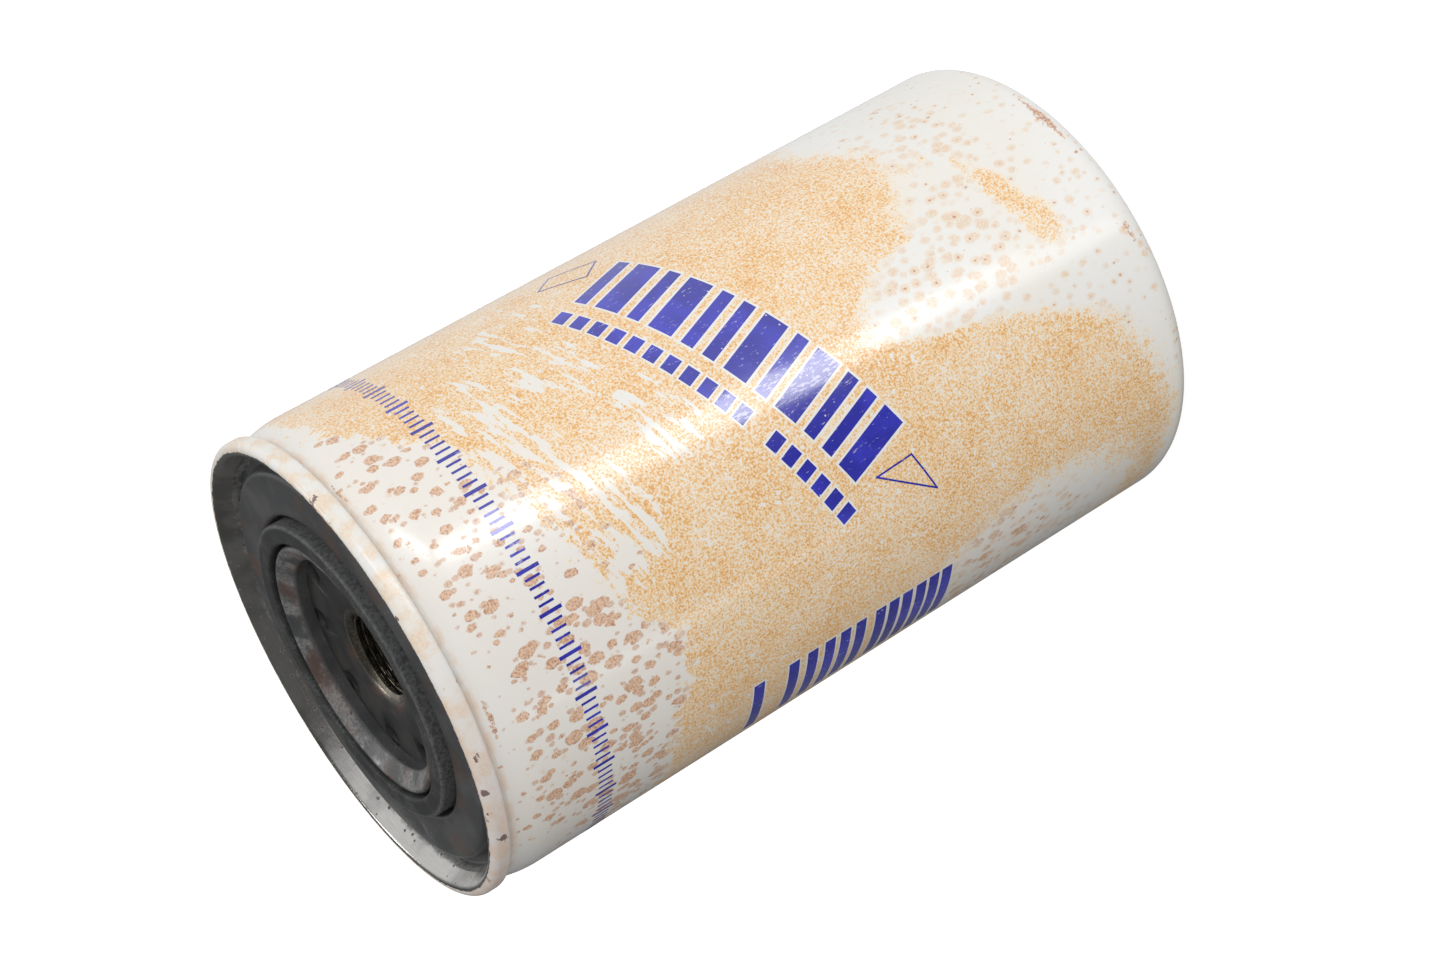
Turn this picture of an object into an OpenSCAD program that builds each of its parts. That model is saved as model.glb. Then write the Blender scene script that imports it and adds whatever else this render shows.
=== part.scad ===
// Heavy-duty spin-on oil filter, standing on its closed end with the thread up.
// Z runs along the filter; z = 0 is the closed end and z = can_height the seam crest.

/* [Can] */
// Outside diameter of the can
can_d = 108; // [104:0.5:112]
// Height from the closed end to the crest of the seam
can_height = 190; // [170:1:240]
// Thickness of the can sheet
can_t = 0.7; // [0.6:0.05:0.75]
// Outside radius of the corner at the closed end
corner_r = 5.5; // [4:0.5:8]
// Radius of the raised middle of the closed end
recess_r = 37; // [32:0.5:40]
// Height that the middle of the closed end is raised
recess_h = 2; // [1:0.25:3]
// How far the neck under the seam is drawn in
neck_in = 1.35; // [1.1:0.05:1.6]

/* [Lid and base plate] */
// Thickness of the seaming lid sheet
lid_t = 0.6; // [0.5:0.05:0.65]
// Depth of the lid plateau below the seam crest
plateau_z = 2.7; // [2.4:0.1:3]
// Inside radius of the rolled lip round the opening
lip_r = 25; // [24.5:0.1:25.5]
// Depth of the base plate face below the seam crest
plate_z = 6.4; // [6:0.1:6.8]
// Thickness of the base plate
plate_t = 3; // [2.5:0.25:3.5]
// Diameter of the shallow dish round the thread
dish_d = 29; // [26:0.5:32]
// Depth of the dish
dish_depth = 0.7; // [0.4:0.1:1]
// Minor diameter of the 13/16-16 thread
thread_minor_d = 18.95; // [18.9:0.01:19.1]
// Length of the threaded wall
thread_len = 9.5; // [8:0.5:11]
// Outside diameter of the threaded collar
collar_d = 26.4; // [25:0.2:27]
// Number of inlet holes
inlet_n = 9; // [6:1:10]
// Diameter of an inlet hole
inlet_d = 5.6; // [4:0.1:6]
// Radius of the circle of inlet holes
inlet_r = 22.8; // [21:0.1:23]

/* [Gasket] */
// Outside diameter of the gasket
gasket_od = 69.7; // [69:0.1:70]
// Inside diameter of the gasket
gasket_id = 60.6; // [60.4:0.1:62]
// Depth of the gasket face below the seam crest
gasket_z = 0.4; // [0.2:0.1:0.8]

/* [Element] */
// Radius of the pleat tips
pleat_r = 46; // [40:0.5:46.5]
// Number of pleats
pleat_n = 54; // [36:2:56]
// Thickness of the filter paper
paper_t = 0.5; // [0.3:0.05:0.5]
// Outside radius of the perforated centre tube
tube_r = 18.2; // [17.5:0.1:18.4]
// Rows of holes in the centre tube
tube_rows = 13; // [6:1:16]
// Height of the underside of the element
element_z = 24; // [22:0.5:30]

/* [Valves and springs] */
// Lift of the bypass valve
bypass_lift = 4; // [3:0.5:5]
// Radius of the bypass valve stem
stem_r = 2.4; // [2:0.1:3]
// Running clearance round the bypass valve stem
stem_gap = 0.05; // [0.03:0.01:0.1]
// Wire diameter of the support spring
support_wire = 2.8; // [2.4:0.1:3]
// Mean radius of the support spring
support_r = 22.5; // [22:0.5:24]

/* [Hidden] */

round_fn = 96;
arc_steps = 5;
touch = 0.05;                          // gap left between faces that rest on each other

// Can
can_r = can_d / 2;
wall_r = can_r - can_t / 2;            // middle of the can sheet
floor_z = recess_h + can_t;            // inside face of the raised middle
shoulder_z = can_height - 10.5;

// Double seam, counted inwards from the outside of the can
seam_h = 4.3;                          // crest to the bottom of the outer wall
hook_out_r = can_r - lid_t / 2;        // lid, outer wall
can_hook_r = can_r - lid_t - touch - can_t / 2;
lid_hook_r = can_hook_r - can_t / 2 - touch - lid_t / 2;
can_wall_in_r = lid_hook_r - lid_t / 2 - touch - can_t / 2;
hook_curl_r = (hook_out_r - lid_hook_r) / 2 - 0.01;
can_curl_r = (can_hook_r - can_wall_in_r) / 2 - 0.01;
can_curl_top = can_height - lid_t - 0.4;
curl_mid_z = can_curl_top - can_t / 2;

// Lid and base plate
plate_top = can_height - plate_z;
plate_bottom = plate_top - plate_t;
plateau_top = can_height - plateau_z;
trough_z = can_height - 6;
thread_minor_r = thread_minor_d / 2;
thread_entry_z = plate_top - dish_depth - 0.9;   // where the chamfer ends
collar_bottom = thread_entry_z - thread_len;
collar_r = collar_d / 2;
entry_r = thread_minor_r + 1;           // edge between the dish and the thread's chamfer
plate_step_r = 36.9;                   // step up to the weld ring
plate_out_r = 45.3;
weld_z = plateau_top - lid_t - touch;  // top of the weld ring

// Element stack
cap_t = 0.6;
cap_r = 48.4;
cap_rim = 5;
pot_t = 3;
hub_bottom = plate_bottom - 5;
cap_top = hub_bottom - touch;          // top of the top end cap
media_z0 = element_z + cap_t + pot_t;
media_z1 = cap_top - cap_t - pot_t;
tube_t = 0.6;
pleat_in_r = tube_r + 0.75;
clip_t = 0.4;
wrap_r = 0.8;
wrap_n = 3;
cap_hole_r = collar_r + 1.8;

// Bypass valve
seat_bore_r = 8.5;
seat_t = 1;
seat_bead_h = 0.8;
seat_out_r = 16.2;
seat_top = element_z + cap_t + seat_t;
seal_z0 = seat_top + seat_bead_h + touch;
seal_t = 1.4;
disc_z0 = seal_z0 + seal_t;
disc_t = 1.2;
disc_top = disc_z0 + disc_t;
cage_z = 52;                           // underside of the cage bridge
cage_t = 1.2;
cage_r = 12.6;
leg_n = 3;
leg_w = 5;
bypass_wire = 1.2;
bypass_coil_r = 6.4;

// Support spring
support_top = element_z - 1.1;

// ---- outline helpers -------------------------------------------------------

function unit(v) = v / norm(v);
function flip(list) = [for (i = [len(list) - 1:-1:0]) list[i]];

// Points of the arc that rounds the corner b between a and c with radius rad
function corner(a, b, c, rad) =
    let (
        u = unit(a - b),
        v = unit(c - b),
        half = acos(max(-1, min(1, u * v))) / 2,
        centre = b + unit(u + v) * rad / sin(half),
        p = b + u * rad / tan(half) - centre,
        q = b + v * rad / tan(half) - centre,
        start = atan2(p.y, p.x),
        turn = atan2(p.x * q.y - p.y * q.x, p * q)
    )
    [for (i = [0:arc_steps]) centre + rad * [cos(start + turn * i / arc_steps),
                                             sin(start + turn * i / arc_steps)]];

// Path of [r, z, corner radius] points turned into plain [r, z] points
function rounded(path) = [
    for (i = [0:len(path) - 1])
        let (b = [path[i][0], path[i][1]], rad = path[i][2])
        each rad == undef || rad == 0
            ? [b]
            : corner([path[i - 1][0], path[i - 1][1]], b,
                     [path[i + 1][0], path[i + 1][1]], rad)
];

// The path moved sideways by d, mitred at every point
function beside(path, d) = [
    for (i = [0:len(path) - 1])
        let (
            before = i == 0 ? path[1] - path[0] : path[i] - path[i - 1],
            after = i == len(path) - 1 ? before : path[i + 1] - path[i],
            n0 = [-unit(before).y, unit(before).x],
            n1 = [-unit(after).y, unit(after).x],
            m = unit(n0 + n1)
        )
        path[i] + m * d / (m * n0)
];

// Closed outline of a sheet of thickness t along a path
function sheet(path, t) = concat(beside(path, t / 2), flip(beside(path, -t / 2)));

module revolve(points) {
    rotate_extrude($fn = round_fn) polygon(points);
}

module ring(inner, outer, z0, z1) {
    revolve([[inner, z0], [outer, z0], [outer, z1], [inner, z1]]);
}

// Height of a spring's centre line after a given share of its turns: one
// closed turn of the given pitch at each end, and even turns between them
function spring_z(share, turns, span, closed) =
    let (t = share * turns, open = (span - 2 * closed) / (turns - 2))
    t < 1 ? closed * t
          : t > turns - 1 ? span - closed * (turns - t)
                          : closed + open * (t - 1);

// Round-wire spring between two flat faces
module spring(mean_r, wire, z0, z1, turns) {
    sides = 8;
    steps = 22 * turns;
    span = z1 - z0 - wire;
    points = [
        for (i = [0:steps], j = [0:sides - 1])
            let (
                share = i / steps,
                around = 360 * turns * share,
                side = 360 * (j + 0.5) / sides,
                r = mean_r + wire / 2 * cos(side),
                z = z0 + wire / 2 + spring_z(share, turns, span, wire + 0.12)
            )
            [r * cos(around), r * sin(around), z + wire / 2 * sin(side)]
    ];
    skin = [
        for (i = [0:steps - 1], j = [0:sides - 1])
            let (a = i * sides + j, b = i * sides + (j + 1) % sides)
            each [[a, b + sides, b], [a, a + sides, b + sides]]
    ];
    ends = [
        [for (j = [0:sides - 1]) j],
        [for (j = [sides - 1:-1:0]) steps * sides + j]
    ];
    polyhedron(points, concat(skin, ends));
}

// ---- casing ----------------------------------------------------------------

module can_shell() {
    path = rounded([
        [0, floor_z - can_t / 2],
        [recess_r - 1, floor_z - can_t / 2, 1.2],
        [recess_r + 1.4, can_t / 2, 1.2],
        [wall_r, can_t / 2, corner_r - can_t / 2],
        [wall_r, shoulder_z, 25],
        [wall_r - neck_in, can_height - 5.7, 1],
        [can_wall_in_r, can_height - 4.75, 0.6],
        [can_wall_in_r, curl_mid_z, can_curl_r],
        [can_hook_r, curl_mid_z, can_curl_r],
        [can_hook_r, can_height - 3.1]
    ]);
    color("white") revolve(sheet(path, can_t));
}

module seaming_lid() {
    top = can_height - lid_t / 2;
    flat = plateau_top - lid_t / 2;
    groove = plate_top + touch + lid_t / 2;
    path = rounded([
        [lip_r + lid_t / 2, plate_top + touch],
        [lip_r + lid_t / 2, plate_top + 2.6, 0.6],
        [29.1, can_height - 0.95, 0.55],
        [29.65, groove, 0.8],
        [35.5, groove, 0.8],
        [36.1, flat, 0.7],
        [45.7, flat, 0.9],
        [46.6, trough_z, 1],
        [48.8, trough_z, 0.9],
        [49.75, can_height - 3.6, 0.6],
        [51.5, top, 0.8],
        [hook_out_r, top, 1.3],
        [hook_out_r, can_height - seam_h + lid_t / 2, hook_curl_r],
        [lid_hook_r, can_height - seam_h + lid_t / 2, hook_curl_r],
        [lid_hook_r, can_height - 2.4]
    ]);
    color("dimgray") revolve(sheet(path, lid_t));
}

module seam_compound() {
    z1 = can_height - lid_t - touch;
    color("darkkhaki") ring(can_r - 2.1, can_r - 1.3, z1 - 0.24, z1);
}

module base_plate() {
    outline = [
        [thread_minor_r, collar_bottom],
        [thread_minor_r, thread_entry_z],
        [entry_r, plate_top - dish_depth],
        [dish_d / 2, plate_top],
        [plate_step_r, plate_top],
        [plate_step_r + 0.5, weld_z],
        [plate_out_r, weld_z],
        [plate_out_r, weld_z - plate_t],
        [plate_step_r + 2.6, weld_z - plate_t],
        [plate_step_r + 1.8, plate_bottom],
        [collar_r + 1, plate_bottom],
        [collar_r, plate_bottom - 1],
        [collar_r, collar_bottom + 0.6],
        [collar_r - 0.6, collar_bottom]
    ];
    color("dimgray") difference() {
        revolve(outline);
        for (i = [0:inlet_n - 1])
            rotate([0, 0, 15 + 360 / inlet_n * i])
                translate([inlet_r, 0, plate_bottom - 1])
                    cylinder(d = inlet_d, h = plate_t + 2, $fn = 32);
    }
}

module gasket() {
    z0 = plate_top + lid_t + 2 * touch;
    z1 = can_height - gasket_z;
    r0 = gasket_id / 2;
    r1 = gasket_od / 2;
    color("dimgray") revolve([
        [r0, z0], [r1, z0], [r1, z1 - 0.6], [r1 - 0.2, z1 - 0.2],
        [r1 - 0.6, z1], [r0 + 0.6, z1], [r0 + 0.2, z1 - 0.2], [r0, z1 - 0.6]
    ]);
}

// ---- anti-drain-back valve -------------------------------------------------

module drain_back_hub() {
    color("#202020") revolve([
        [collar_r + touch, collar_bottom + 1],
        [cap_hole_r - 0.15, collar_bottom + 1],
        [cap_hole_r - 0.15, hub_bottom],
        [18.2, hub_bottom],
        [18.2, plate_bottom - touch],
        [collar_r + 1.2, plate_bottom - touch],
        [collar_r + touch, plate_bottom - 1.2]
    ]);
}

module drain_back_flap() {
    seal = plate_bottom - 0.1;
    color("#282828") revolve([
        [18.5, seal - 2.6], [28, seal - 1.4], [31, seal - 1.2], [31.6, seal],
        [28.2, seal], [26.4, seal - 0.35], [18.5, seal - 1.2]
    ]);
}

// ---- element ---------------------------------------------------------------

module top_end_cap() {
    color("silver") revolve([
        [cap_hole_r, cap_top - 4], [cap_hole_r + cap_t, cap_top - 4],
        [cap_hole_r + cap_t, cap_top - cap_t], [cap_r - cap_t, cap_top - cap_t],
        [cap_r - cap_t, cap_top - cap_rim], [cap_r, cap_top - cap_rim],
        [cap_r, cap_top], [cap_hole_r, cap_top]
    ]);
}

module bottom_end_cap() {
    color("silver") revolve([
        [12, element_z], [cap_r, element_z], [cap_r, element_z + cap_rim],
        [cap_r - cap_t, element_z + cap_rim], [cap_r - cap_t, element_z + cap_t],
        [12, element_z + cap_t]
    ]);
}

module top_potting() {
    color("crimson") ring(tube_r, cap_r - cap_t - touch, media_z1, media_z1 + pot_t - touch);
}

module bottom_potting() {
    color("crimson") ring(tube_r, cap_r - cap_t - touch, media_z0 - pot_t + touch, media_z0);
}

// Outer tip radius of a pleat: the clipped pleat is shorter by the clip
function tip_r(i) = i == 0 ? pleat_r - clip_t : pleat_r;

function polar(r, a, side) = [r * cos(a) - side * sin(a), r * sin(a) + side * cos(a)];

// Closed zigzag of the paper, moved outwards at the tips by grow
function pleats(grow) = [
    for (i = [0:pleat_n - 1])
        let (
            out_a = 360 / pleat_n * i,
            in_a = out_a + 180 / pleat_n,
            out_half = 0.55 + grow,
            in_half = 0.45 - grow
        )
        each [
            polar(tip_r(i) + grow, out_a, -out_half),
            polar(tip_r(i) + grow, out_a, out_half),
            polar(pleat_in_r + paper_t / 2 + grow, in_a, -in_half),
            polar(pleat_in_r + paper_t / 2 + grow, in_a, in_half)
        ]
];

module pleated_media() {
    color("wheat") translate([0, 0, media_z0])
        linear_extrude(height = media_z1 - media_z0)
            difference() {
                polygon(pleats(paper_t / 2));
                polygon(pleats(-paper_t / 2));
            }
}

module pleat_clip() {
    half = 1.3;
    tip = pleat_r + paper_t / 2;
    color("silver") translate([0, 0, media_z0 + 1])
        linear_extrude(height = media_z1 - media_z0 - 2)
            polygon([
                [tip - 5, -half], [tip, -half], [tip, half], [tip - 5, half],
                [tip - 5, half - clip_t + 0.1], [tip - clip_t + 0.05, half - clip_t + 0.1],
                [tip - clip_t + 0.05, clip_t - 0.1 - half], [tip - 5, clip_t - 0.1 - half]
            ]);
}

module media_wrap() {
    step = (media_z1 - media_z0) / (wrap_n + 1);
    color("seagreen") for (i = [1:wrap_n])
        translate([0, 0, media_z0 + step * i])
            rotate_extrude($fn = round_fn)
                translate([pleat_r + paper_t / 2 + wrap_r + touch, 0])
                    circle(r = wrap_r, $fn = 24);
}

module centre_tube() {
    z0 = element_z + cap_t + seat_t + touch;
    z1 = cap_top - cap_t;
    row_step = (media_z1 - media_z0) / (tube_rows + 1);
    color("silver") difference() {
        ring(tube_r - tube_t, tube_r - touch, z0, z1);
        for (i = [1:tube_rows], j = [0:3])
            translate([0, 0, media_z0 + row_step * i])
                rotate([90, 0, 45 * j + 22.5 * (i % 2)])
                    cylinder(r = 2, h = 3 * tube_r, center = true, $fn = 24);
    }
}

// ---- bypass valve ----------------------------------------------------------

module bypass_seat() {
    bead_r = seat_bore_r + 1.5;
    color("silver") revolve([
        [seat_bore_r, seat_top - seat_t], [seat_out_r, seat_top - seat_t],
        [seat_out_r, seat_top], [bead_r + 0.9, seat_top],
        [bead_r + 0.4, seat_top + seat_bead_h], [bead_r - 0.4, seat_top + seat_bead_h],
        [bead_r - 0.9, seat_top], [seat_bore_r, seat_top]
    ]);
}

module poppet_seal() {
    color("black") ring(3.5, 11.4, seal_z0, seal_z0 + seal_t);
}

module bypass_poppet() {
    color("ivory") union() {
        cylinder_at(11.8, disc_z0, disc_top);
        cylinder_at(3.4, seal_z0, disc_z0 + 0.1);
        cylinder_at(4.6, disc_top - 0.1, disc_top + 2);
        cylinder_at(stem_r, disc_top, cage_z + cage_t + 1.5);
    }
}

module cylinder_at(r, z0, z1) {
    translate([0, 0, z0]) cylinder(r = r, h = z1 - z0, $fn = 64);
}

module bypass_spring() {
    color("lightsteelblue")
        spring(bypass_coil_r, bypass_wire, disc_top + touch, cage_z - touch, 6);
}

module bypass_cage() {
    color("silver") difference() {
        union() {
            ring(cage_r, seat_out_r, seat_top, seat_top + 1);
            cylinder_at(cage_r + 1, cage_z, cage_z + cage_t);
            for (i = [0:leg_n - 1])
                rotate([0, 0, 360 / leg_n * i])
                    translate([cage_r, -leg_w / 2, seat_top])
                        cube([1, leg_w, cage_z + cage_t - seat_top]);
        }
        cylinder_at(stem_r + stem_gap, cage_z - 1, cage_z + cage_t + 1);
        for (i = [0:5])
            rotate([0, 0, 60 * i + 30])
                translate([8, 0, cage_z - 1])
                    cylinder(r = 2.2, h = cage_t + 2, $fn = 24);
    }
}

// ---- support spring --------------------------------------------------------

module spring_seat() {
    inner = support_r - support_wire / 2 - 0.4;
    color("silver") revolve([
        [inner - 1, support_top - 4], [inner, support_top - 4],
        [inner, support_top], [support_r + 4, support_top],
        [support_r + 4, element_z], [inner - 1, element_z]
    ]);
}

module support_spring() {
    color("lightsteelblue")
        spring(support_r, support_wire, floor_z + touch, support_top - touch, 4.5);
}

can_shell();
seaming_lid();
seam_compound();
base_plate();
gasket();
drain_back_hub();
drain_back_flap();
top_end_cap();
top_potting();
pleated_media();
pleat_clip();
media_wrap();
centre_tube();
bottom_potting();
bottom_end_cap();
bypass_seat();
poppet_seal();
bypass_poppet();
bypass_spring();
bypass_cage();
spring_seat();
support_spring();
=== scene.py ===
"""Looks of the spin-on oil filter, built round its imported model.

In the shared frame +Z runs along the filter from its closed end to its threaded end, and
the camera's side of the can is -Y. Lengths in this file are millimetres unless a name ends in
_m; meshes are written in metres. Places on the can are (angle, height): the angle in
degrees from -Y, positive towards +X, and the height above the closed end.
"""

import math
import random
from math import cos, pi, radians, sin

import bmesh
import bpy
import numpy as np
from mathutils import Matrix, Vector


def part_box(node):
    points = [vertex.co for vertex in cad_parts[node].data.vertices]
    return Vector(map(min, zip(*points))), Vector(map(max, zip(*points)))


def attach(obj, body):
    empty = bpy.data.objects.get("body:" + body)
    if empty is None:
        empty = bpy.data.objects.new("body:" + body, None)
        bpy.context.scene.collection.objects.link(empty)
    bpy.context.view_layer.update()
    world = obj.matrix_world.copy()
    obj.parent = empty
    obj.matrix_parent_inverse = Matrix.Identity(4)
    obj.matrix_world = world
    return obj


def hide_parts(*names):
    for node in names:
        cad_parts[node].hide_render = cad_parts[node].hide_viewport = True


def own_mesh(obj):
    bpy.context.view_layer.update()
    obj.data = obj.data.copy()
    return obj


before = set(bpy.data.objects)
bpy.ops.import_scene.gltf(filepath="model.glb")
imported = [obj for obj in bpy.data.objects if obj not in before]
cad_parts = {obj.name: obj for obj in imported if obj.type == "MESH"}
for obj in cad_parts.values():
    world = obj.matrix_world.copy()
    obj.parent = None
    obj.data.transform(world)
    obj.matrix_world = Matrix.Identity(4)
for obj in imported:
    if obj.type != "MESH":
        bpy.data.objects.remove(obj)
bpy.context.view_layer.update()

MM = 0.001


# ---- sizes from the frame ----

def box_mm(node):
    """The lowest and highest corner of a node's box, in mm."""
    low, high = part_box(node)
    return low / MM, high / MM


_, LID_HIGH = box_mm("seaming_lid")
CAN_R = round(LID_HIGH.x, 2)    # outside radius of the can and of its seam
CLEAR = 0.02                    # kept inside the CAD box
WALL_R = CAN_R - CLEAR - 0.04   # outside of the can's wall, under its print
CREST = round(LID_HIGH.z, 2)    # height of the seam's crest
PLATE_LOW, _ = box_mm("base_plate")
GASKET_LOW, GASKET_HIGH = box_mm("gasket")
GASKET_OUT = round(GASKET_HIGH.x, 2)

CAN_T = 0.7                     # can sheet
LID_T = 0.6                     # lid sheet
LAYER_GAP = 0.05                # between the rolled layers of the seam
PLATE_TOP = CREST - 6.4
PLATE_T = 3.0
PLATEAU = CREST - 2.7
FOOT_R = CAN_R - 5.5            # where the corner of the closed end begins
FOOT_H = 4.0                    # surfaces lower than this belong to the closed end
THREAD_R = 9.475                # minor radius of the 13/16-16 thread
THREAD_PITCH = 25.4 / 16
THREAD_DEPTH = 0.82
SEGMENTS = 288


# ---- outlines ----

def round_corner(a, b, c, radius, steps):
    """Points of the arc that rounds corner b of the path a, b, c."""
    u, v = (a - b).normalized(), (c - b).normalized()
    half = math.acos(max(-1, min(1, u.dot(v)))) / 2
    centre = b + (u + v).normalized() * radius / sin(half)
    p = b + u * radius / math.tan(half) - centre
    q = b + v * radius / math.tan(half) - centre
    start = math.atan2(p.y, p.x)
    turn = math.atan2(p.x * q.y - p.y * q.x, p.dot(q))
    angles = [start + turn * i / steps for i in range(steps + 1)]
    return [centre + radius * Vector((cos(angle), sin(angle))) for angle in angles]


def rounded(path, steps=8):
    """A path of (r, z) or (r, z, corner radius) points turned into plain points."""
    plain = [Vector(p[:2]) for p in path]
    points = []
    for i, p in enumerate(path):
        if len(p) == 3:
            points += round_corner(plain[i - 1], plain[i], plain[(i + 1) % len(path)], p[2], steps)
        else:
            points.append(plain[i])
    return points


def sheet(path, thickness):
    """Closed outline of a sheet of that thickness along a path."""
    sides = ([], [])
    for i, p in enumerate(path):
        after = path[i + 1] - p if i < len(path) - 1 else p - path[i - 1]
        before = p - path[i - 1] if i else after
        n0 = Vector((-before.y, before.x)).normalized()
        n1 = Vector((-after.y, after.x)).normalized()
        mitre = (n0 + n1).normalized()
        step = mitre * (thickness / 2) / mitre.dot(n0)
        sides[0].append(p + step)
        sides[1].append(p - step)
    return sides[0] + sides[1][::-1]


def densified(outline, longest):
    """The closed outline with its long straight stretches cut up."""
    points = []
    for i, p in enumerate(outline):
        q = outline[(i + 1) % len(outline)]
        parts = max(1, math.ceil((q - p).length / longest))
        points += [p.lerp(q, k / parts) for k in range(parts)]
    return points


# ---- meshes ----

def in_scene(name, data):
    """A new object of the scene."""
    obj = bpy.data.objects.new(name, data)
    bpy.context.scene.collection.objects.link(obj)
    return obj


def finish_mesh(name, bm, material, sharp_deg=32):
    """A smooth-shaded object from a bmesh, with the edges sharper than sharp_deg kept."""
    bmesh.ops.recalc_face_normals(bm, faces=bm.faces)
    for edge in bm.edges:
        edge.smooth = len(edge.link_faces) == 2 and edge.calc_face_angle(0) < radians(sharp_deg)
    for face in bm.faces:
        face.smooth = True
    mesh = bpy.data.meshes.new(name)
    bm.to_mesh(mesh)
    bm.free()
    mesh.materials.append(material)
    return in_scene(name, mesh)


def revolved(outline, segments=SEGMENTS, shape=None):
    """A bmesh of the closed (r, z) outline turned round Z. shape(r, z, angle) may move a point."""
    bm = bmesh.new()
    rings = []
    for r, z in outline:
        if r < 1e-6:
            rings.append([bm.verts.new((0, 0, z * MM))] * segments)
            continue
        ring = []
        for i in range(segments):
            angle = 2 * pi * i / segments
            rr, zz = shape(r, z, angle) if shape else (r, z)
            ring.append(bm.verts.new((rr * MM * cos(angle), rr * MM * sin(angle), zz * MM)))
        rings.append(ring)
    for a, b in zip(rings, rings[1:] + rings[:1]):
        for i in range(segments):
            j = (i + 1) % segments
            corners = list(dict.fromkeys([a[i], a[j], b[j], b[i]]))
            if len(corners) > 2:
                bm.faces.new(corners)
    return bm


# ---- material building blocks ----

class Nodes:
    """A node tree, with short calls for the nodes that repeat."""

    def __init__(self, tree):
        self.tree = tree
        tree.nodes.clear()

    def node(self, kind, *values, **settings):
        """A new node with these settings and its first sockets fed."""
        made = self.tree.nodes.new("ShaderNode" + kind)
        for key, value in settings.items():
            setattr(made, key, value)
        for socket, value in zip(made.inputs, values):
            self.feed(socket, value)
        return made

    def feed(self, socket, value):
        """Links a socket to the value, or sets the value on it."""
        if isinstance(value, bpy.types.NodeSocket):
            self.tree.links.new(value, socket)
        elif isinstance(value, tuple) and len(value) == 3 and socket.type == "RGBA":
            socket.default_value = (*value, 1)
        else:
            socket.default_value = value

    def vector(self, operation, a, b=(0, 0, 0), scale=None):
        made = self.node("VectorMath", a, b, operation=operation)
        if scale is not None:
            self.feed(made.inputs["Scale"], scale)
        return made.outputs["Value" if operation in ("DOT_PRODUCT", "LENGTH") else "Vector"]

    def math(self, operation, a, b=0.0, clamp=False):
        return self.node("Math", a, b, operation=operation, use_clamp=clamp).outputs[0]

    def times(self, a, b):
        return self.math("MULTIPLY", a, b)

    def plus(self, a, b):
        return self.math("ADD", a, b)

    def minus(self, a, b, clamp=False):
        return self.math("SUBTRACT", a, b, clamp)

    def swing(self, noise, size):
        """A noise value moved to swing about zero, over size at most."""
        return self.times(self.minus(noise, 0.5), size)

    def step(self, value, low, high, to_low=0.0, to_high=1.0):
        """Smooth rise from to_low to to_high as value goes from low to high."""
        made = self.node("MapRange", value, low, high, to_low, to_high,
                         interpolation_type="SMOOTHSTEP")
        return made.outputs[0]


class Shader(Nodes):
    """A material's node tree, fed with places on the object in mm."""

    def __init__(self, name):
        self.material = bpy.data.materials.new(name)
        self.material.use_nodes = True
        super().__init__(self.material.node_tree)
        self.bsdf = self.node("BsdfPrincipled")
        self.node("OutputMaterial", self.bsdf.outputs[0])
        coords = self.node("TexCoord")
        self.pos = self.vector("SCALE", coords.outputs["Object"], scale=1 / MM)

    def mix(self, share, a, b):
        made = self.node("Mix", data_type="RGBA")
        self.feed(made.inputs[0], share)
        self.feed(made.inputs[6], a)
        self.feed(made.inputs[7], b)
        return made.outputs[2]

    def noise(self, per_mm, detail=2.0, rough=0.5, at=None, stretch=None, offset=0.0, output=0):
        at = at or self.pos
        if stretch:
            at = self.vector("MULTIPLY", at, stretch)
        if offset:
            at = self.vector("ADD", at, (offset, offset * 0.7, offset * 1.3))
        made = self.node("TexNoise")
        self.feed(made.inputs["Vector"], at)
        self.feed(made.inputs["Scale"], per_mm)
        self.feed(made.inputs["Detail"], detail)
        self.feed(made.inputs["Roughness"], rough)
        return made.outputs[output]

    def cells(self, size, stretch=(1, 1, 1), wobble=0.0, offset=0.0):
        """Distance to the nearest cell centre, in cells, and two random greys for each cell."""
        at = self.vector("MULTIPLY", self.pos, stretch)
        if offset:
            at = self.vector("ADD", at, (offset, offset, offset))
        if wobble:
            push = self.vector("SUBTRACT", self.noise(0.9, output="Color"), (0.5, 0.5, 0.5))
            at = self.vector("ADD", at, self.vector("SCALE", push, scale=wobble))
        made = self.node("TexVoronoi")
        self.feed(made.inputs["Vector"], at)
        self.feed(made.inputs["Scale"], 1 / size)
        grey = self.node("SeparateColor", made.outputs["Color"])
        return made.outputs["Distance"], grey.outputs[0], grey.outputs[1]

    def dots(self, size, edge, rarity, wobble=0.0, offset=0.0):
        """Soft-edged dots in the few cells whose grey is high enough."""
        distance, chance, _ = self.cells(size, wobble=wobble, offset=offset)
        return self.times(self.step(distance, *edge), self.step(chance, *rarity))

    def field(self, name):
        return self.node("Attribute", attribute_name=name).outputs["Fac"]

    def cylinder(self):
        """(arc from -Y, radius, height), in mm."""
        x, y, z = self.node("SeparateXYZ", self.pos).outputs
        arc = self.times(self.math("ARCTAN2", x, self.times(y, -1)), CAN_R)
        flat = self.vector("MULTIPLY", self.pos, (1, 1, 0))
        return arc, self.vector("LENGTH", flat), z

    def bump(self, height, depth_mm, after=None):
        made = self.node("Bump")
        self.feed(made.inputs["Strength"], 1.0)
        self.feed(made.inputs["Distance"], depth_mm * MM)
        self.feed(made.inputs["Height"], height)
        if after:
            self.feed(made.inputs["Normal"], after)
        return made.outputs[0]

    def done(self, **values):
        """Sets the Principled BSDF's inputs; an underscore in a name stands for a space."""
        for key, value in values.items():
            self.feed(self.bsdf.inputs[key.replace("_", " ")], value)
        return self.material


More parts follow.
